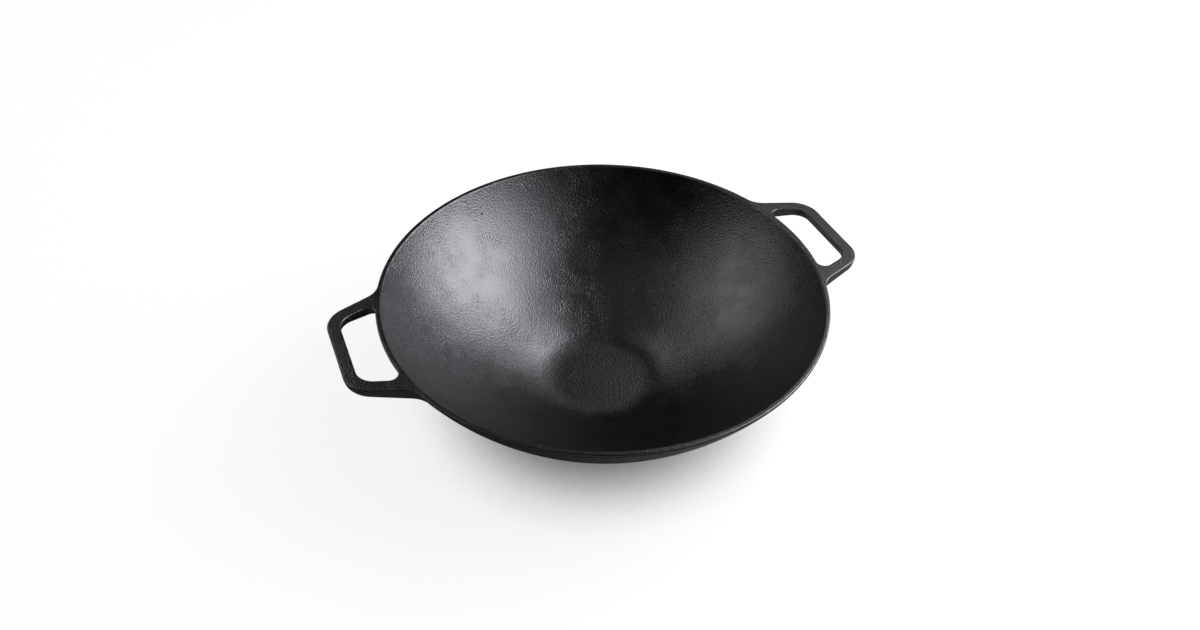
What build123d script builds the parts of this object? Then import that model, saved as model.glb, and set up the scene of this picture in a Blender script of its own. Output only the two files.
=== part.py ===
from build123d import *
import os
from math import cos, hypot, radians, sin, sqrt, tan

# A cast iron kadai: a round bowl with a flat foot, and two loop handles level with its rim.
# Millimetres and degrees. The origin is the middle of the foot, +Z is up, and the handles
# point along X. The pan is one casting, divided here across the legs of its handles.

# Bowl
rim_radius = 178.0
pan_height = 104.5
foot_radius = 46.3
cone_angle = 24.8
wall_thickness = 4.4
base_thickness = 4.5

# The bends between the flat bottom and the wall, in the cavity and under the foot
cavity_bend_radius = 28.0
foot_bend_radius = 15.0

# Rim: an upright band above the parting plane of the two mould halves
rim_band = 2.2
top_bevel = 0.6

# Handle loops from above: the grip's outer edge, the gap's outer edge and their corners
handle_reach = 34.6
grip_width = 9.8
grip_length = 84.8
leg_angle = 19.9
grip_corner_radius = 22.0
gap_length = 70.4
gap_leg_angle = 18.5
gap_corner_radius = 15.0
gap_root_radius = 6.5
root_flare_radius = 18.0

# Handle loops from the side: thicker at the root, and drafted below the parting plane
grip_thickness = 5.8
root_thickness = 9.4
draft_angle = 6.0
parting_step = 0.3
underside_bevel = 0.8

# The legs are divided where they run straight, this far outside the rim
leg_joint_reach = 6.5

# How deep the lower half of each flare starts inside the wall, and how far a cut overruns
flare_depth = 1.2
overrun = 3.0

# In section the wall is a cone that rises from the foot, and then an arc that goes on from it
# up to the rim. The arc is drawn about a point on the pan's axis, as far from the cone as from
# the rim, and that gives the height of the point.
parting_level = pan_height - rim_band
cone_slope = radians(cone_angle)
foot_share = foot_radius * sin(cone_slope)
mean_height = parting_level + foot_share * cos(cone_slope)
rim_distance = hypot(parting_level, rim_radius)
spare = mean_height**2 - (rim_distance**2 - foot_share**2) * sin(cone_slope) ** 2
centre_z = (mean_height - sqrt(spare)) / sin(cone_slope) ** 2
wall_curve_radius = foot_share + centre_z * cos(cone_slope)

# The cavity runs parallel to the outside, down to the flat that food sits on
cavity_curve_radius = wall_curve_radius - wall_thickness
flat_radius = (cavity_curve_radius - (centre_z - base_thickness) * cos(cone_slope)) / sin(cone_slope)


def wall_reach(curve_radius, level):
    """How far from the pan's axis an arc of the wall is at one height."""
    return sqrt(curve_radius**2 - (centre_z - level) ** 2)


def cone_top(curve_radius):
    """Where the cone turns into an arc of the wall, from the axis and from the ground."""
    return curve_radius * sin(cone_slope), centre_z - curve_radius * cos(cone_slope)


def loop_shape(grip_x, grip_y, angle, corner_radius):
    """A grip along Y whose ends turn into legs that spread towards the pan's axis."""
    leg_y = grip_y + grip_x * tan(radians(angle))
    with BuildSketch() as shape:
        with BuildLine():
            Polyline((grip_x, -grip_y), (grip_x, grip_y), (0, leg_y), (0, -leg_y), close=True)
        make_face()
        fillet(shape.vertices().group_by(Axis.X)[-1], corner_radius)
    return shape.sketch


def pan_outline(level, round_radius, inset):
    """The pan from above at one height: its round, and both handles on flared roots."""
    end_shift = inset * (1 / cos(radians(leg_angle)) - tan(radians(leg_angle)))
    with BuildSketch(Plane.XY.offset(level)) as outline:
        add(
            loop_shape(
                rim_radius + handle_reach - inset,
                grip_length / 2 - end_shift,
                leg_angle,
                grip_corner_radius - inset,
            )
        )
        Circle(round_radius)
        mirror(about=Plane.YZ)
        roots = outline.vertices().group_by(Axis.Y)
        fillet(roots[0] + roots[-1], root_flare_radius)
    return outline.sketch


def gap_outline(level, round_radius, outset):
    """The right handle's finger gap from above at one height, outside the wall."""
    end_shift = outset * (1 / cos(radians(gap_leg_angle)) - tan(radians(gap_leg_angle)))
    with BuildSketch(Plane.XY.offset(level)) as outline:
        add(
            loop_shape(
                rim_radius + handle_reach - grip_width + outset,
                gap_length / 2 + end_shift,
                gap_leg_angle,
                gap_corner_radius + outset,
            )
        )
        Circle(round_radius, mode=Mode.SUBTRACT)
        fillet(outline.vertices().group_by(Axis.X)[0], gap_root_radius)
    return outline.sketch


# Below the parting plane the handles draw in, and their flares follow the wall down
lower_depth = root_thickness - rim_band + overrun
lower_level = parting_level - lower_depth
lower_inset = parting_step + lower_depth * tan(radians(draft_angle))
lower_reach = wall_reach(wall_curve_radius, lower_level) - flare_depth
upper_reach = rim_radius - flare_depth

# Each underside rises from the root of its handle to its grip
undersides = [
    Plane(
        origin=(side * rim_radius, 0, pan_height - root_thickness),
        z_dir=(side * (grip_thickness - root_thickness), 0, handle_reach),
    )
    for side in (1, -1)
]

with BuildPart() as finger_gaps:
    loft(
        sections=[
            gap_outline(lower_level, lower_reach, lower_inset),
            gap_outline(parting_level, upper_reach, parting_step),
        ],
        ruled=True,
    )
    extrude(gap_outline(parting_level, rim_radius, 0), amount=rim_band + overrun)
    mirror(about=Plane.YZ)

with BuildPart() as casting:
    # Handles: the lower mould half, the upper mould half and the gaps for the fingers
    loft(
        sections=[
            pan_outline(lower_level, lower_reach, lower_inset),
            pan_outline(parting_level, upper_reach, parting_step),
        ],
        ruled=True,
    )
    for underside in undersides:
        split(bisect_by=underside, keep=Keep.TOP)
    extrude(pan_outline(parting_level, rim_radius, 0), amount=rim_band)
    add(finger_gaps.part, mode=Mode.SUBTRACT)

    # Bowl: the solid round, with its foot, its wall and its upright rim
    with BuildSketch(Plane.XZ) as round_section:
        with BuildLine():
            foot = Line((0, 0), (foot_radius, 0))
            cone = Line(foot @ 1, cone_top(wall_curve_radius))
            wall = RadiusArc(cone @ 1, (rim_radius, parting_level), -wall_curve_radius)
            Polyline(wall @ 1, (rim_radius, pan_height), (0, pan_height), foot @ 0)
        make_face()
        fillet(round_section.vertices().sort_by_distance(foot @ 1)[0], foot_bend_radius)
    revolve(axis=Axis.Z)

    # Cavity: its flat and wall, and a bevel that takes twice as much off the land above
    mouth_level = pan_height - top_bevel
    mouth_radius = wall_reach(cavity_curve_radius, mouth_level)
    lip_radius = mouth_radius + 2 * top_bevel
    cavity_top = pan_height + overrun
    with BuildSketch(Plane.XZ) as cavity_section:
        with BuildLine():
            flat = Line((0, base_thickness), (flat_radius, base_thickness))
            slope = Line(flat @ 1, cone_top(cavity_curve_radius))
            inside = RadiusArc(slope @ 1, (mouth_radius, mouth_level), -cavity_curve_radius)
            lip = Line(inside @ 1, (lip_radius, pan_height))
            Polyline(lip @ 1, (lip_radius, cavity_top), (0, cavity_top), flat @ 0)
        make_face()
        fillet(cavity_section.vertices().sort_by_distance(flat @ 1)[0], cavity_bend_radius)
    revolve(axis=Axis.Z, mode=Mode.SUBTRACT)

    # Bevels outside the mouth: round the rim and the loops, then round their undersides
    *outer_edges, mouth_edge = casting.faces().sort_by(Axis.Z)[-1].edges().sort_by(SortBy.LENGTH)
    chamfer(outer_edges, top_bevel)
    wall_edges = casting.faces().sort_by(SortBy.AREA)[-1].edges()
    for underside in undersides:
        chamfer(casting.faces().filter_by(underside).edges() - wall_edges, underside_bevel)

# The bowl keeps the roots of the legs, with their flares and the inner ends of the gaps
leg_joint = Plane.YZ.offset(rim_radius + leg_joint_reach)
with BuildPart() as handle_right:
    add(casting.part)
    split(bisect_by=leg_joint, keep=Keep.TOP)

with BuildPart() as handle_left:
    mirror(handle_right.part, about=Plane.YZ)

with BuildPart() as bowl:
    add(casting.part)
    split(bisect_by=leg_joint, keep=Keep.BOTTOM)
    split(bisect_by=Plane.YZ.offset(-rim_radius - leg_joint_reach), keep=Keep.TOP)

bowl.part.label = "bowl"
handle_left.part.label = "handle_left"
handle_right.part.label = "handle_right"

os.makedirs("parts", exist_ok=True)
for piece in (bowl, handle_left, handle_right):
    export_step(piece.part, f"parts/{piece.part.label}.step")
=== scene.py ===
import bpy
import numpy as np
from math import cos, hypot, pi, radians, sin, sqrt, tan
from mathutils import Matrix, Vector


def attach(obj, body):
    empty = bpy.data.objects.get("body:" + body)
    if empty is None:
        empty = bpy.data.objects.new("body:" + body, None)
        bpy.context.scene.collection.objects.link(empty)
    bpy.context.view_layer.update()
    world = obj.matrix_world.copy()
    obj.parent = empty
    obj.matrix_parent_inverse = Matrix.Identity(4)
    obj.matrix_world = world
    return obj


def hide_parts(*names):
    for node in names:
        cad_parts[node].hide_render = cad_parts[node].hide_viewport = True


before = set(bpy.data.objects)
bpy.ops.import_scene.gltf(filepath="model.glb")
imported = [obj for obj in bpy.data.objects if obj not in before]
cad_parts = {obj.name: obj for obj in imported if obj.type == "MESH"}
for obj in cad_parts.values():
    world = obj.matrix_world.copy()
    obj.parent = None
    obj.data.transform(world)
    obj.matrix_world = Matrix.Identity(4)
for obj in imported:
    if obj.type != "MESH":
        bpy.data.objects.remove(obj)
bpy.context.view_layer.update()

# The bowl of the kadai, with the roots of its two handles. All of it is one sand casting in grey
# iron: a flat foot, a cone and a spherical wall, and a rim whose top stands upright above the
# parting line, where the two halves of the mould met.
rim_radius = 0.178
pan_height = 0.1045
foot_radius = 0.0463
cone_slope = radians(24.8)
wall_thickness = 0.0044
base_thickness = 0.0045
cavity_bend_radius = 0.05
foot_bend_radius = 0.015
rim_band = 0.0022
parting_level = pan_height - rim_band

# The wall's arc goes on from the cone up to the parting line, about a point on the bowl's axis
foot_share = foot_radius * sin(cone_slope)
mean_height = parting_level + foot_share * cos(cone_slope)
rim_distance = hypot(parting_level, rim_radius)
spare = mean_height**2 - (rim_distance**2 - foot_share**2) * sin(cone_slope) ** 2
curve_centre = (mean_height - sqrt(spare)) / sin(cone_slope) ** 2
wall_curve_radius = foot_share + curve_centre * cos(cone_slope)
cavity_curve_radius = wall_curve_radius - wall_thickness

# The turned skins end at these heights, where the rim takes over from them
cavity_ring_level = 0.098
wall_ring_level = 0.086
turned_columns = 360


class Wire:
    """What a node gives out. Sums are written on it as on a number, and each adds its Math node."""

    def __init__(self, tree, socket=None):
        self.tree = tree
        self.socket = socket

    def add(self, kind, settings=None, sockets=None, gives=0):
        """Adds any node: its type, its settings, and the values or wires of its sockets."""
        node = self.tree.nodes.new(kind)
        for name, value in (settings or {}).items():
            setattr(node, name, value)
        for name, value in (sockets or {}).items():
            wires = [w for w in (value if isinstance(value, list) else [value]) if isinstance(w, Wire)]
            for wire in wires:
                self.tree.links.new(wire.socket, node.inputs[name])
            if not wires:
                node.inputs[name].default_value = value
        return Wire(self.tree, node.outputs[gives])

    def math(self, operation, *values):
        return self.add("ShaderNodeMath", {"operation": operation}, dict(enumerate(values)))

    def smooth(self, low, high):
        """0 up to low and 1 from high on, with a soft step between them."""
        settings = {"interpolation_type": "SMOOTHSTEP"}
        return self.add("ShaderNodeMapRange", settings, {0: self, 1: low, 2: high})

    def __add__(self, other):
        return self.math("ADD", self, other)

    def __radd__(self, other):
        return self.math("ADD", other, self)

    def __sub__(self, other):
        return self.math("SUBTRACT", self, other)

    def __rsub__(self, other):
        return self.math("SUBTRACT", other, self)

    def __mul__(self, other):
        return self.math("MULTIPLY", self, other)

    def __rmul__(self, other):
        return self.math("MULTIPLY", other, self)

    def __truediv__(self, other):
        return self.math("DIVIDE", self, other)

    def __rtruediv__(self, other):
        return self.math("DIVIDE", other, self)


def new_nodes(name, takes):
    """A node tree whose inputs are named: it gives back the tree and a wire for each input."""
    tree = bpy.data.node_groups.new(name, "GeometryNodeTree")
    for label, kind in takes.items():
        tree.interface.new_socket(label, in_out="INPUT", socket_type=f"NodeSocket{kind}")
    tree.interface.new_socket("Geometry", in_out="OUTPUT", socket_type="NodeSocketGeometry")
    given = tree.nodes.new("NodeGroupInput")
    return tree, {label: Wire(tree, given.outputs[label]) for label in takes}


def give_out(wire):
    """Ends a node tree with the geometry on this wire."""
    wire.tree.links.new(wire.socket, wire.tree.nodes.new("NodeGroupOutput").inputs[0])


# One skin of the turned bowl, from the middle of its flat to a height on its wall: a profile of
# a flat, a bend, a cone and an arc, which goes once round the axis
flat_steps = 12
bend_steps = 6
cone_steps = 12
arc_steps = 34
skin_nodes, skin = new_nodes(
    "turned skin",
    {
        "Columns": "Int",
        "Flat Level": "Float",
        "Bend Radius": "Float",
        "Curve Radius": "Float",
        "Curve Centre": "Float",
        "Cone Slope": "Float",
        "Top Slope": "Float",
    },
)
slope_sine = skin["Cone Slope"].math("SINE", skin["Cone Slope"])
slope_cosine = skin["Cone Slope"].math("COSINE", skin["Cone Slope"])
flat_reach = (
    skin["Curve Radius"] - (skin["Curve Centre"] - skin["Flat Level"]) * slope_cosine
) / slope_sine
bend_reach = skin["Bend Radius"] * flat_reach.math("TANGENT", skin["Cone Slope"] / 2)


def profile_point(reach, level):
    """A point of the profile, which is drawn from the path round the bowl outwards and down."""
    return reach.add("ShaderNodeCombineXYZ", None, {"X": reach - flat_reach, "Y": 0 - level})


def profile_line(steps, start, middle, end):
    sockets = {"Resolution": steps, "Start": start, "Middle": middle, "End": end}
    return start.add("GeometryNodeCurveQuadraticBezier", None, sockets)


def halfway(start, end):
    return start.add("ShaderNodeMix", {"data_type": "VECTOR"}, {0: 0.5, 4: start, 5: end}, gives=1)


flat_corner = profile_point(flat_reach, skin["Flat Level"])
flat_end = profile_point(flat_reach - bend_reach, skin["Flat Level"])
bend_end = profile_point(
    flat_reach + bend_reach * slope_cosine, skin["Flat Level"] + bend_reach * slope_sine
)
cone_top = profile_point(
    skin["Curve Radius"] * slope_sine, skin["Curve Centre"] - skin["Curve Radius"] * slope_cosine
)
axis_point = profile_point(flat_reach - flat_reach, skin["Flat Level"])
wall_arc = flat_reach.add(
    "GeometryNodeCurveArc",
    {"mode": "RADIUS"},
    {
        "Resolution": arc_steps,
        "Radius": skin["Curve Radius"],
        "Start Angle": pi / 2 - skin["Cone Slope"],
        "Sweep Angle": skin["Cone Slope"] - skin["Top Slope"],
    },
)
wall_arc = wall_arc.add(
    "GeometryNodeSetPosition",
    None,
    {"Geometry": wall_arc, "Offset": profile_point(flat_reach - flat_reach, skin["Curve Centre"])},
)
profile = flat_reach.add(
    "GeometryNodeJoinGeometry",
    None,
    {
        "Geometry": [
            profile_line(flat_steps, axis_point, halfway(axis_point, flat_end), flat_end),
            profile_line(bend_steps, flat_end, flat_corner, bend_end),
            profile_line(cone_steps, bend_end, halfway(bend_end, cone_top), cone_top),
            wall_arc,
        ]
    },
)
once_round = flat_reach.add(
    "GeometryNodeCurvePrimitiveCircle",
    {"mode": "RADIUS"},
    {"Resolution": skin["Columns"], "Radius": flat_reach},
)
give_out(
    flat_reach.add("GeometryNodeCurveToMesh", None, {"Curve": once_round, "Profile Curve": profile})
)

# The whole bowl: the skins of its cavity and its outside, joined to the rim at their top rings
ring_merge = 0.00001
bowl_nodes, bowl_takes = new_nodes(
    "turned bowl",
    {
        "Geometry": "Geometry",
        "Columns": "Int",
        "Wall Curve Radius": "Float",
        "Wall Thickness": "Float",
        "Base Thickness": "Float",
        "Cavity Bend Radius": "Float",
        "Foot Bend Radius": "Float",
        "Curve Centre": "Float",
        "Cone Slope": "Float",
        "Cavity Ring Level": "Float",
        "Wall Ring Level": "Float",
    },
)


def turned_skin(flat_level, bend_radius, curve_radius, ring_level):
    centre = bowl_takes["Curve Centre"]
    return centre.add(
        "GeometryNodeGroup",
        {"node_tree": skin_nodes},
        {
            "Columns": bowl_takes["Columns"],
            "Flat Level": flat_level,
            "Bend Radius": bend_radius,
            "Curve Radius": curve_radius,
            "Curve Centre": centre,
            "Cone Slope": bowl_takes["Cone Slope"],
            "Top Slope": centre.math("ARCCOSINE", (centre - ring_level) / curve_radius),
        },
    )


cavity_skin = turned_skin(
    bowl_takes["Base Thickness"],
    bowl_takes["Cavity Bend Radius"],
    bowl_takes["Wall Curve Radius"] - bowl_takes["Wall Thickness"],
    bowl_takes["Cavity Ring Level"],
)
outside_skin = turned_skin(
    0.0, bowl_takes["Foot Bend Radius"], bowl_takes["Wall Curve Radius"], bowl_takes["Wall Ring Level"]
)
outside_skin = outside_skin.add("GeometryNodeFlipFaces", None, {"Mesh": outside_skin})
whole_bowl = cavity_skin.add(
    "GeometryNodeJoinGeometry",
    None,
    {"Geometry": [bowl_takes["Geometry"], cavity_skin, outside_skin]},
)
give_out(
    whole_bowl.add(
        "GeometryNodeMergeByDistance", None, {"Geometry": whole_bowl, "Distance": ring_merge}
    )
)

# The cast skin: sand moulds leave a surface that is never quite even. It is even again where a
# handle's leg is divided from the bowl, and where the foot stands.
leg_joint_reach = 0.0065
handle_joint = rim_radius + leg_joint_reach
cast_nodes, cast = new_nodes(
    "cast skin",
    {
        "Geometry": "Geometry",
        "Unevenness": "Float",
        "Patch Size": "Float",
        "Handle Joint": "Float",
        "Seed": "Float",
        "Iron": "Material",
    },
)
place = cast["Seed"].add("GeometryNodeInputPosition")
waves = place.add(
    "ShaderNodeTexNoise",
    {"noise_dimensions": "4D"},
    {"Vector": place, "W": cast["Seed"], "Scale": 1 / cast["Patch Size"], "Detail": 1.0},
)
along_x = place.add("ShaderNodeSeparateXYZ", None, {0: place})
above_ground = Wire(cast_nodes, along_x.socket.node.outputs["Z"])
beside_joint = along_x.math("ABSOLUTE", along_x.math("ABSOLUTE", along_x) - cast["Handle Joint"])
swell = (waves - 0.5) * cast["Unevenness"]
swell = swell * beside_joint.smooth(0.0005, 0.007) * above_ground.smooth(0, 0.003)
outwards = place.add("GeometryNodeInputNormal")
offset = outwards.add("ShaderNodeVectorMath", {"operation": "SCALE"}, {0: outwards, "Scale": swell})
swollen = place.add(
    "GeometryNodeSetPosition", None, {"Geometry": cast["Geometry"], "Offset": offset}
)
solid_skin = swollen.add("GeometryNodeRealizeInstances", None, {"Geometry": swollen})
give_out(
    solid_skin.add("GeometryNodeSetMaterial", None, {"Geometry": solid_skin, "Material": cast["Iron"]})
)


# The rim, and the roots of the handles' legs: rows of points that run from the cavity over the
# rim and down the outside. One quarter is worked out, and the other three mirror it.
handle_reach = 0.0346
grip_width = 0.0098
grip_length = 0.0848
leg_angle = radians(19.9)
gap_length = 0.0704
gap_leg_angle = radians(18.5)
gap_root_radius = 0.0065
root_flare_radius = 0.018
flare_end = 0.161
root_thickness = 0.0094
grip_thickness = 0.0058
draft = tan(radians(6))
parting_step = 0.0003
rim_round = 0.0009
underside_round = 0.0011
gap_rise = gap_length / 2 + (rim_radius + handle_reach - grip_width) * tan(gap_leg_angle)
leg_rise = grip_length / 2 + (rim_radius + handle_reach) * tan(leg_angle)

# The columns of a quarter, by what they follow: the rim in the finger gap, the gap's root, the
# leg's inner side, its division, its outer side, the flare, and the rim again
stretches = np.array([16, 8, 1, 7, 4, 9, 135])
ends = np.cumsum(stretches)
quarter = np.arange(ends[-1] + 1)
stretch = np.minimum(np.searchsorted(ends, quarter, side="right"), 6)
along = (quarter - (ends - stretches)[stretch]) / stretches[stretch]
even_turn = quarter * (pi / 2 / ends[-1])


def wall_reach(curve_radius, level):
    """How far from the axis an arc of the wall is at one height."""
    return np.sqrt(curve_radius**2 - (curve_centre - level) ** 2)


def fillet_centre(reach, rise, slope):
    """The middle of a fillet, on a circle round the axis and on a line beside the leg."""
    spare = (rise * slope) ** 2 - (1 + slope**2) * (rise**2 - reach**2)
    x = (rise * slope + np.sqrt(spare)) / (1 + slope**2)
    return x, rise - x * slope


def bowl_outline(round_radius, inset):
    """A quarter of the bowl from above, at one height: its points, and the ways out of the iron."""
    inset = inset + np.zeros(len(quarter))
    gap_line = gap_rise + inset / cos(gap_leg_angle)
    leg_line = leg_rise - inset / cos(leg_angle)
    gap_x, gap_y = fillet_centre(
        round_radius + gap_root_radius,
        gap_line - gap_root_radius / cos(gap_leg_angle),
        tan(gap_leg_angle),
    )
    flare_x, flare_y = fillet_centre(
        round_radius + root_flare_radius,
        leg_line + root_flare_radius / cos(leg_angle),
        tan(leg_angle),
    )
    gap_turn = np.arctan2(gap_y, gap_x)
    flare_turn = np.arctan2(flare_y, flare_x)

    def between(start, end):
        return start + (end - start) * along

    in_gap = gap_turn * along
    in_root = between(gap_turn + pi, pi / 2 - gap_leg_angle)
    on_leg = gap_x + gap_root_radius * sin(gap_leg_angle)
    off_leg = between(handle_joint, flare_x - root_flare_radius * sin(leg_angle))
    in_flare = between(-pi / 2 - leg_angle, flare_turn - pi)
    on_rim = between(flare_turn, pi / 2)
    gap_side = gap_line - handle_joint * tan(gap_leg_angle)
    leg_side = leg_line - handle_joint * tan(leg_angle)
    x = [
        round_radius * np.cos(in_gap),
        gap_x + gap_root_radius * np.cos(in_root),
        on_leg,
        handle_joint + 0 * along,
        off_leg,
        flare_x + root_flare_radius * np.cos(in_flare),
        round_radius * np.cos(on_rim),
    ]
    y = [
        round_radius * np.sin(in_gap),
        gap_y + gap_root_radius * np.sin(in_root),
        gap_line - on_leg * tan(gap_leg_angle),
        between(gap_side, leg_side),
        leg_line - off_leg * tan(leg_angle),
        flare_y + root_flare_radius * np.sin(in_flare),
        round_radius * np.sin(on_rim),
    ]
    out_x = [
        np.cos(in_gap),
        -np.cos(in_root),
        -sin(gap_leg_angle) + 0 * along,
        0 * along,
        sin(leg_angle) + 0 * along,
        -np.cos(in_flare),
        np.cos(on_rim),
    ]
    out_y = [
        np.sin(in_gap),
        -np.sin(in_root),
        -cos(gap_leg_angle) + 0 * along,
        between(-1 / cos(gap_leg_angle), 1 / cos(leg_angle)),
        cos(leg_angle) + 0 * along,
        -np.sin(in_flare),
        np.sin(on_rim),
    ]
    points = np.stack([np.choose(stretch, x), np.choose(stretch, y)], axis=1)
    return points, np.stack([np.choose(stretch, out_x), np.choose(stretch, out_y)], axis=1)


def underside_level(x):
    """A handle's underside rises from its root to its grip. Inside the flares it stays level."""
    rise = (np.maximum(x, flare_end) - rim_radius) * (root_thickness - grip_thickness) / handle_reach
    return pan_height - root_thickness + rise


def at_level(points, level):
    """Points from above, lifted to their heights."""
    return np.column_stack([points, level + np.zeros(len(points))])


def soft_corner(start, corner, end, steps):
    """Rows from start to end, round a corner."""
    t = np.linspace(0, 1, steps)[:, None, None]
    return (1 - t) ** 2 * start + 2 * t * (1 - t) * corner + t**2 * end


def spaced_rows(rows, places):
    """Takes new rows along old ones, at the given shares of each column's length."""
    steps = np.linalg.norm(np.diff(rows, axis=0), axis=2)
    run = np.vstack([np.zeros(rows.shape[1]), np.cumsum(steps, axis=0)])
    new = np.zeros((len(places), rows.shape[1], 3))
    for column in range(rows.shape[1]):
        for axis in range(3):
            new[:, column, axis] = np.interp(
                places * run[-1, column], run[:, column], rows[:, column, axis]
            )
    return new


# The parting line is a fine groove: how far above it each row is, and how far in from the band.
# The drafted side starts a little way below it.
parting_line = (
    (0.00040, 0.0),
    (0.00025, 0.00015),
    (0.00010, 0.0004),
    (-0.00005, 0.0005),
    (-0.00022, 0.0005),
    (-0.00035, 0.0004),
)
parting_depth = 0.0005


def edge_rows(outline, underside_rounds):
    """Rows down an edge of the casting: its rounded top, the upright band, the parting line that
    the mould left, and the drafted side below, as far as the rounded edge of the underside."""
    points, out = outline(rim_radius, 0)
    rows = []
    for turn in np.linspace(0, pi / 2, 6):
        inset = rim_round * (1 - sin(turn))
        rows.append(at_level(points - out * inset, pan_height - rim_round * (1 - cos(turn))))
    for above, inset in parting_line:
        rows.append(at_level(points - out * inset, parting_level + above))

    def side(level):
        inset = parting_step + (parting_level - level) * draft
        return outline(wall_reach(wall_curve_radius, level), inset)

    # The drafted side's reach and the underside's height hang on each other, so they take turns
    edge = np.full(len(points), pan_height - root_thickness)
    for _ in range(5):
        corner, corner_out = side(edge)
        edge = underside_level(corner[:, 0])
    rounds = underside_rounds(corner, edge)
    start = np.full(len(points), parting_level - parting_depth)
    path = []
    for share in np.linspace(0, 1, 8):
        level = start + (edge + rounds - start) * share
        path.append(at_level(side(level)[0], level))
    under = corner - corner_out * rounds[:, None]
    under = at_level(under, underside_level(under[:, 0]))
    path += list(soft_corner(path[-1], at_level(corner, edge), under, 7)[1:])
    places = 1 - (1 - np.linspace(0, 1, 12)) ** 1.5
    return np.concatenate([rows, spaced_rows(np.array(path), places)]), at_level(corner, edge)


def turned_row(curve_radius, level, turn):
    """A row on an arc of the wall: its height, and how far round the bowl its columns are."""
    reach = wall_reach(curve_radius, level)
    return np.column_stack([reach * np.cos(turn), reach * np.sin(turn), level + np.zeros(len(turn))])


# How a leg's columns share out the way round the bowl from the finger gap to the flare: the ends
# of the gap's rim, its root, the leg's inner side, its division and its outer side
leg_shares = (0, 0.78, 0.81, 0.9, 1)


def round_root(points):
    """How far round the bowl each column is, if the leg's columns pass round the gap's root."""
    turn = np.arctan2(points[:, 1], points[:, 0])
    first = ends[0]
    last = ends[4]
    share = np.interp(quarter[first : last + 1], ends[:5], leg_shares)
    turn[first : last + 1] = turn[first] + (turn[last] - turn[first]) * share
    return turn


def wall_corner(corner, edge):
    """Where each column's underside meets the wall, and how far round the bowl that is."""
    turn = round_root(corner)
    level = edge.copy()
    for _ in range(6):
        level = underside_level(wall_reach(wall_curve_radius, level) * np.cos(turn))
    return turn, turned_row(wall_curve_radius, level, turn)


def bowl_rounds(corner, edge):
    """The underside's edge is less round where it runs out into the wall."""
    reach = wall_corner(corner, edge)[1][:, :2] - corner
    return np.minimum(underside_round, 0.45 * np.linalg.norm(reach, axis=1))


# Up the cavity, where the even columns slide round to those of the rim, and over the mouth
cavity_rows = ((0.0992, 0), (0.1008, 0.4), (0.1022, 0.75), (0.1031, 1))
mouth_depth = 0.0008
mouth_width = 0.0011
mouth_turn = round_root(bowl_outline(rim_radius, 0)[0])
rows = []
for level, share in cavity_rows:
    rows.append(turned_row(cavity_curve_radius, level, even_turn + (mouth_turn - even_turn) * share))
mouth = turned_row(cavity_curve_radius, pan_height, mouth_turn)
mouth_low = turned_row(cavity_curve_radius, pan_height - mouth_depth, mouth_turn)
mouth_high = turned_row(cavity_curve_radius, pan_height, mouth_turn)
mouth_high[:, :2] *= 1 + mouth_width / wall_reach(cavity_curve_radius, pan_height)
rows += list(soft_corner(mouth_low, mouth, mouth_high, 5))
edges, edge_corner = edge_rows(bowl_outline, bowl_rounds)
rows += [mouth_high + (edges[0] - mouth_high) * share for share in (0.25, 0.5, 0.75)]
rows += list(edges)

# From the edge of the underside to the wall, round a small fillet and a little way down, and then
# on to the height where the even columns begin again
underside_fillet = 0.003
wall_run = 0.0035
even_level = 0.0875
turn, wall_edge = wall_corner(edge_corner[:, :2], edge_corner[:, 2])
across = wall_edge - edges[-1]
length = np.linalg.norm(across, axis=1)
fillet_reach = np.minimum(underside_fillet, 0.5 * length)
back = wall_edge - across * (fillet_reach / np.maximum(length, 1e-9))[:, None]
wall_slope = np.arccos((curve_centre - wall_edge[:, 2]) / wall_curve_radius)


def down_wall(distance):
    """Rows on the wall, so far below the underside."""
    level = curve_centre - wall_curve_radius * np.cos(wall_slope - distance / wall_curve_radius)
    return turned_row(wall_curve_radius, level, turn)


path = [edges[-1] + (back - edges[-1]) * share for share in np.linspace(0, 1, 5)]
path += list(soft_corner(back, wall_edge, down_wall(fillet_reach), 7)[1:])
path += [down_wall(fillet_reach + (wall_run - fillet_reach) * share) for share in (0.5, 1)]
rows += list(spaced_rows(np.array(path), np.linspace(0, 1, 14))[1:])
last_level = path[-1][:, 2]
for share in (1 / 3, 2 / 3, 1):
    level = last_level + (even_level - last_level) * share
    rows.append(turned_row(wall_curve_radius, level, turn + (even_turn - turn) * share))


def whole_round(row):
    """A quarter's row and its three mirror images, once round."""
    left = row[-2::-1] * (-1, 1, 1)
    half = np.concatenate([row, left])
    return np.concatenate([half, half[-2:0:-1] * (1, -1, 1)])


# The rim's mesh: its rows are joined face by face, and each of its end rows is joined to a ring
# with half as many columns, on which a turned skin ends
fine = np.array([whole_round(row) for row in rows])
fine_columns = fine.shape[1]
coarse_turn = np.arange(turned_columns) * (2 * pi / turned_columns)
points = np.concatenate(
    [
        fine.reshape(-1, 3),
        turned_row(cavity_curve_radius, cavity_ring_level, coarse_turn),
        turned_row(wall_curve_radius, wall_ring_level, coarse_turn),
    ]
)
faces = []
for row in range(len(fine) - 1):
    for column in range(fine_columns):
        after = (column + 1) % fine_columns
        low = row * fine_columns
        high = low + fine_columns
        faces.append((low + column, high + column, high + after, low + after))
last_row = (len(fine) - 1) * fine_columns
cavity_ring = len(fine) * fine_columns
wall_ring = cavity_ring + turned_columns
for column in range(turned_columns):
    after = (column + 1) % turned_columns
    trio = [2 * column, 2 * column + 1, 2 * after]
    faces.append((cavity_ring + column, *trio, cavity_ring + after))
    faces.append((wall_ring + after, *(last_row + c for c in trio[::-1]), wall_ring + column))

rim_mesh = bpy.data.meshes.new("rim")
rim_mesh.from_pydata(points.tolist(), [], faces)


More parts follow.
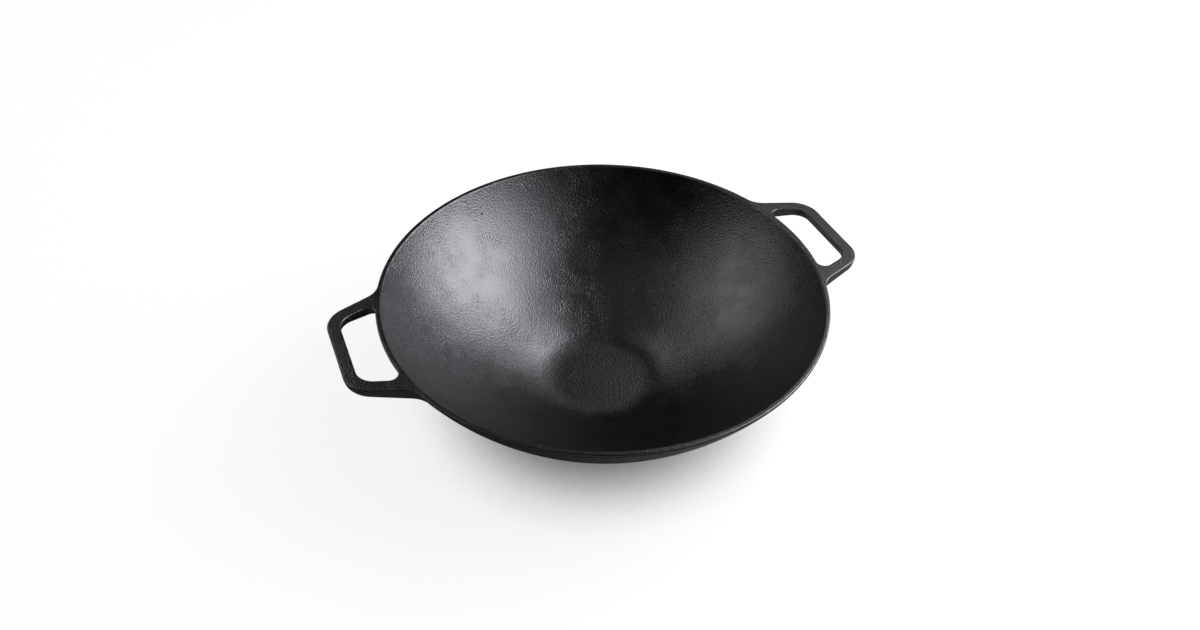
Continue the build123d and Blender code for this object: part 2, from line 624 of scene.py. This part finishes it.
# The iron's finish: black oil seasoning, baked on in thin coats over the grain of the sand. It
# shines softly, is duller in patches, and fills the grain but not the odd pit.
iron = bpy.data.materials.new("seasoned_iron")
iron.use_nodes = True
shader = iron.node_tree.nodes["Principled BSDF"]
shader.inputs["IOR"].default_value = 2.0
on_iron = Wire(iron.node_tree).add("ShaderNodeTexCoord", None, None, gives="Object")


def sand_noise(size, detail, roughness=0.5):
    return on_iron.add(
        "ShaderNodeTexNoise",
        None,
        {"Vector": on_iron, "Scale": 1 / size, "Detail": detail, "Roughness": roughness},
    )


grain = sand_noise(0.0013, 1.0)
fine_grain = sand_noise(0.0006, 1.0)
patches = sand_noise(0.022, 3.0, 0.6)
pit_places = ((-0.0525, 0.1538, 0.0866), (0.1591, 0.0432, 0.0898))
pits = 0
for pit_place in pit_places:
    away = on_iron.add(
        "ShaderNodeVectorMath", {"operation": "DISTANCE"}, {0: on_iron, 1: pit_place}, gives="Value"
    )
    pits = pits + (1 - away.smooth(0.0006, 0.0011))
coarse_places = patches.smooth(0.35, 0.65)
relief = (grain - 0.5) * (0.5 + coarse_places * 0.5) + (fine_grain - 0.5) * 0.12
relief = relief - pits * 1.5
bump = relief.add("ShaderNodeBump", None, {"Height": relief, "Distance": 0.00046, "Strength": 1.0})
seasoning = on_iron.add(
    "ShaderNodeMix",
    {"data_type": "RGBA"},
    {0: coarse_places, 6: (0.0015, 0.0015, 0.0017, 1), 7: (0.003, 0.0029, 0.0032, 1)},
    gives=2,
)
dullness = 0.24 + patches * 0.06 + grain * 0.04 + pits * 0.6
for socket, wire in (("Base Color", seasoning), ("Roughness", dullness), ("Normal", bump)):
    iron.node_tree.links.new(wire.socket, shader.inputs[socket])


def finished_piece(name, mesh, trees):
    """Runs a piece's mesh through node trees, keeps the plain mesh, and sets it in the frame."""
    piece = bpy.data.objects.new(name, mesh)
    bpy.context.scene.collection.objects.link(piece)
    for tree, values in trees:
        modifier = piece.modifiers.new(tree.name, "NODES")
        modifier.node_group = tree
        for item in tree.interface.items_tree:
            if item.name in values:
                modifier[item.identifier] = values[item.name]
    evaluated = piece.evaluated_get(bpy.context.evaluated_depsgraph_get())
    plain = bpy.data.meshes.new_from_object(evaluated)
    piece.modifiers.clear()
    piece.data = plain
    plain.name = name
    plain.shade_smooth()
    plain.set_sharp_from_angle(angle=radians(60))
    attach(piece, "root")
    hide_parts(name)


cast_values = {
    "Unevenness": 0.00016,
    "Patch Size": 0.028,
    "Handle Joint": handle_joint,
    "Seed": 3.0,
    "Iron": iron,
}
bowl_values = {
    "Columns": turned_columns,
    "Wall Curve Radius": wall_curve_radius,
    "Wall Thickness": wall_thickness,
    "Base Thickness": base_thickness,
    "Cavity Bend Radius": cavity_bend_radius,
    "Foot Bend Radius": foot_bend_radius,
    "Curve Centre": curve_centre,
    "Cone Slope": cone_slope,
    "Cavity Ring Level": cavity_ring_level,
    "Wall Ring Level": wall_ring_level,
}
finished_piece("bowl", rim_mesh, [(bowl_nodes, bowl_values), (cast_nodes, cast_values)])


# The two handle loops: broad flat grips on spreading legs, cast with the bowl and drafted from
# the same parting line. Each is a closed solid that meets its roots where the legs run straight.
grip_corner_radius = 0.022
gap_corner_radius = 0.015


def loop_side(grip_x, rise, angle, corner_radius, outwards):
    """Half of a loop's outer or inner side, from the leg's division to the middle of the grip."""
    grip_y = rise - grip_x * tan(angle)
    turn = pi / 2 - angle
    centre = (grip_x - corner_radius, grip_y - corner_radius * tan(turn / 2))
    leg_end = centre[0] + corner_radius * sin(angle)
    leg_x = np.linspace(handle_joint, leg_end, 11)
    leg_way = np.tile([sin(angle), cos(angle)], (len(leg_x), 1))
    leg_way[0] = 0, 1 / cos(angle)
    bend = np.linspace(turn, 0, 19)[1:]
    bend_way = np.column_stack([np.cos(bend), np.sin(bend)])
    grip = np.linspace(centre[1], 0, 17)[1:]
    points = np.concatenate(
        [
            np.column_stack([leg_x, rise - leg_x * tan(angle)]),
            centre + corner_radius * bend_way,
            np.column_stack([np.full(len(grip), grip_x), grip]),
        ]
    )
    ways = np.concatenate([leg_way, bend_way, np.tile([1.0, 0.0], (len(grip), 1))]) * outwards

    def side(round_radius, inset):
        return points - ways * (inset + np.zeros(len(points)))[:, None], ways

    return side


def even_rounds(corner, edge):
    """A handle's underside is equally round all along its edge."""
    return np.full(len(corner), underside_round)


# A handle's section runs down its outer side, in under its underside, up its inner side and back
outer_rows = edge_rows(
    loop_side(rim_radius + handle_reach, leg_rise, leg_angle, grip_corner_radius, 1), even_rounds
)[0]
inner_rows = edge_rows(
    loop_side(
        rim_radius + handle_reach - grip_width, gap_rise, gap_leg_angle, gap_corner_radius, -1
    ),
    even_rounds,
)[0]
spans = np.linspace(0, 1, 9)[1:-1, None, None]
section = np.concatenate(
    [
        outer_rows,
        outer_rows[-1] + (inner_rows[-1] - outer_rows[-1]) * spans,
        inner_rows[::-1],
        inner_rows[0] + (outer_rows[0] - inner_rows[0]) * spans,
    ]
)
loop = np.concatenate([section, section[:, -2::-1] * (1, -1, 1)], axis=1)
section_size, loop_size = loop.shape[:2]
loop_faces = []
for row in range(section_size):
    after = (row + 1) % section_size
    for column in range(loop_size - 1):
        low = row * loop_size + column
        high = after * loop_size + column
        loop_faces.append((low, high, high + 1, low + 1))
loop_faces.append([row * loop_size for row in range(section_size)][::-1])
loop_faces.append([row * loop_size + loop_size - 1 for row in range(section_size)])
for side_name, side_sign in (("right", 1), ("left", -1)):
    handle_mesh = bpy.data.meshes.new(f"handle_{side_name}")
    handle_points = loop.reshape(-1, 3) * (side_sign, 1, 1)
    turned_faces = [face[::-side_sign] for face in loop_faces]
    handle_mesh.from_pydata(handle_points.tolist(), [], turned_faces)
    finished_piece(f"handle_{side_name}", handle_mesh, [(cast_nodes, cast_values)])


# The studio: a pale floor that runs up into a low wall all round, soft boxes and the camera.
# None of it is part of the kadai.
sweep_rings = ((0.6, 0.0), (2.5, 0.0), (2.75, 0.02), (2.9, 0.07), (2.98, 0.15), (3.0, 0.3))
sweep_columns = 96
sweep_points = [(0.0, 0.0, 0.0)]
sweep_faces = []
for reach, level in sweep_rings:
    for column in range(sweep_columns):
        around = column * (2 * pi / sweep_columns)
        sweep_points.append((reach * cos(around), reach * sin(around), level))
for column in range(sweep_columns):
    after = (column + 1) % sweep_columns
    sweep_faces.append((0, 1 + column, 1 + after))
    for ring in range(len(sweep_rings) - 1):
        low = 1 + ring * sweep_columns
        high = low + sweep_columns
        sweep_faces.append((low + column, high + column, high + after, low + after))
sweep_mesh = bpy.data.meshes.new("studio_floor")
sweep_mesh.from_pydata(sweep_points, [], sweep_faces)
sweep_mesh.shade_smooth()
studio_floor = bpy.data.objects.new("studio_floor", sweep_mesh)
bpy.context.scene.collection.objects.link(studio_floor)

# The floor's paper shows white to the camera and lights the kadai only a little. Its diffuse part
# keeps the kadai's real shadow, and its glow is dimmed near the kadai by ambient occlusion, a painted
# shadow under and around it.
paper = bpy.data.materials.new("studio_paper")
paper.use_nodes = True
paper.node_tree.nodes.remove(paper.node_tree.nodes["Principled BSDF"])
rays = Wire(paper.node_tree).add("ShaderNodeLightPath", None, None, gives="Is Camera Ray")
pale = rays.add("ShaderNodeBsdfDiffuse", None, {"Color": (0.24, 0.24, 0.24, 1)})
shadowed = rays.add("ShaderNodeBsdfDiffuse", None, {"Color": (0.2, 0.2, 0.2, 1)})
# Painted shadow: ambient occlusion dims the camera-only white glow under and beside the kadai
painted_shadow_mask = rays.add("ShaderNodeAmbientOcclusion", None, {"Distance": 0.1}, gives="AO").smooth(0.1, 0.6)
glow_with_painted_shadow = rays.add("ShaderNodeEmission", None, {"Color": (1, 1, 1, 1), "Strength": painted_shadow_mask * 0.86})
white = rays.add("ShaderNodeAddShader", None, {0: glow_with_painted_shadow, 1: shadowed})
finish = rays.add("ShaderNodeMixShader", None, {0: rays, 1: pale, 2: white})
paper.node_tree.links.new(finish.socket, paper.node_tree.nodes["Material Output"].inputs["Surface"])
sweep_mesh.materials.append(paper)

# The air past the floor is white to the camera, and dark to everything that it would light
world = bpy.data.worlds.new("studio_air")
world.use_nodes = True
air = world.node_tree.nodes["Background"]
air.inputs["Color"].default_value = (1, 1, 1, 1)
on_view = Wire(world.node_tree).add("ShaderNodeLightPath", None, None, gives="Is Camera Ray")
world.node_tree.links.new((0.004 + on_view * 0.996).socket, air.inputs["Strength"])
bpy.context.scene.world = world


def soft_box(name, azimuth, elevation, width, height, power, distance=1.6):
    """A lamp that looks at the kadai from a compass angle and a height angle, in degrees."""
    lamp = bpy.data.lights.new(name, "AREA")
    lamp.shape = "RECTANGLE"
    lamp.size = width
    lamp.size_y = height
    lamp.energy = power
    box = bpy.data.objects.new(name, lamp)
    way = Vector(
        (
            cos(radians(elevation)) * cos(radians(azimuth)),
            cos(radians(elevation)) * sin(radians(azimuth)),
            sin(radians(elevation)),
        )
    )
    box.location = way * distance
    box.rotation_euler = way.to_track_quat("Z", "Y").to_euler()
    box.visible_camera = False
    bpy.context.scene.collection.objects.link(box)
    return lamp


# The two lamps on the camera's right have a little less green in them than the others
soft_box("key_box", -8, 38, 1.5, 1.2, 29.0).color = (1.0, 0.965, 1.045)
soft_box("side_box", -56, 38, 0.7, 1.1, 2.4).color = (1.0, 0.965, 1.045)
soft_box("left_box", 134, 38, 1.4, 0.95, 4.3)
soft_box("handle_box", 49, 42, 0.65, 0.6, 0.85)
soft_box("top_box", 170, 76, 0.75, 0.6, 0.28)

# The ceiling lights the floor evenly from above, and is too soft to show in the iron's gloss
ceiling_light = bpy.data.lights.new("ceiling", "SUN")
ceiling_light.energy = 0.5
ceiling_light.angle = radians(90)
ceiling = bpy.data.objects.new("ceiling", ceiling_light)
ceiling.visible_glossy = False
bpy.context.scene.collection.objects.link(ceiling)

# The camera stands in front, to the left and well above the rim, and is tilted a little
camera_data = bpy.data.cameras.new("studio_camera")
camera_data.sensor_width = 36.0
camera_data.lens = 31.574
camera = bpy.data.objects.new("studio_camera", camera_data)
camera.location = (-0.255191, -0.594295, 0.630029)
look = Vector((-0.01567, -0.0315, 0.1045)) - camera.location
camera.rotation_euler = look.to_track_quat("-Z", "Y").to_euler()
camera.rotation_euler.rotate_axis("Z", radians(0.954))
bpy.context.scene.collection.objects.link(camera)
bpy.context.scene.camera = camera
bpy.context.scene.view_settings.view_transform = "Standard"
